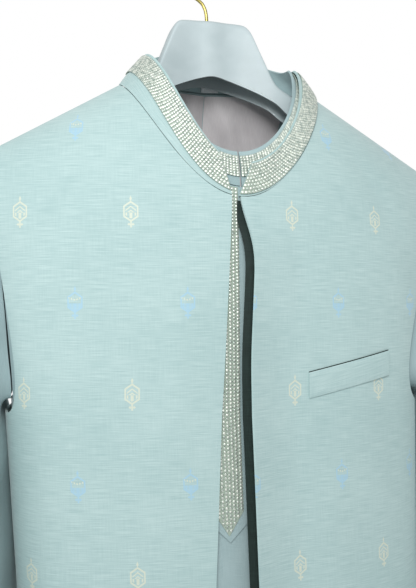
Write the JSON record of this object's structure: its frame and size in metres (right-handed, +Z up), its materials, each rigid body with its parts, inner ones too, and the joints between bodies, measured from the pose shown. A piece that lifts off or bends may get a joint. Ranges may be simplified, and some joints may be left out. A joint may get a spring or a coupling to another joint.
{
  "type": "kurta pajama set with jacket on hanger",
  "caption": "Long-sleeved kurta with a stand collar and a sleeveless woven jacket over it, pajama folded inside, all hung on a moulded clothes hanger",
  "frame": {"origin": "the point under the top of the hook's bend where a rail carries the hanger", "axes": "+X to the wearer's left, -Y to the wearer's front, +Z up"},
  "size_m": [0.5464, 0.1884, 1.1733],
  "materials": {
    "jacket_cloth": "slubbed plain weave with small woven motifs",
    "kurta_cloth": "soft plain weave",
    "sequin_trim": "rows of small square sequins",
    "lining_cloth": "smooth satin lining",
    "label_cloth": "woven blank label",
    "hanger_plastic": "satin moulded",
    "hook_brass": "polished wire"
  },
  "bodies": {
    "root": {"hanger_body": "hanger_plastic", "hanger_bar": "hanger_plastic", "hanger_hook": "hook_brass", "jacket_front_left": "jacket_cloth", "jacket_front_right": "jacket_cloth", "jacket_back": "jacket_cloth", "jacket_collar": "jacket_cloth", "jacket_pocket_welt": "jacket_cloth", "jacket_collar_trim": "sequin_trim", "kurta_front": "kurta_cloth", "kurta_back": "kurta_cloth", "kurta_sleeve_left": "kurta_cloth", "kurta_sleeve_right": "kurta_cloth", "kurta_collar": "kurta_cloth", "kurta_placket": "kurta_cloth", "kurta_collar_trim": "sequin_trim", "kurta_placket_trim": "sequin_trim", "kurta_back_lining": "lining_cloth", "kurta_label": "label_cloth", "pajama_leg_left": "kurta_cloth", "pajama_leg_right": "kurta_cloth", "pajama_waistband": "kurta_cloth"}
  },
  "joints": []
}
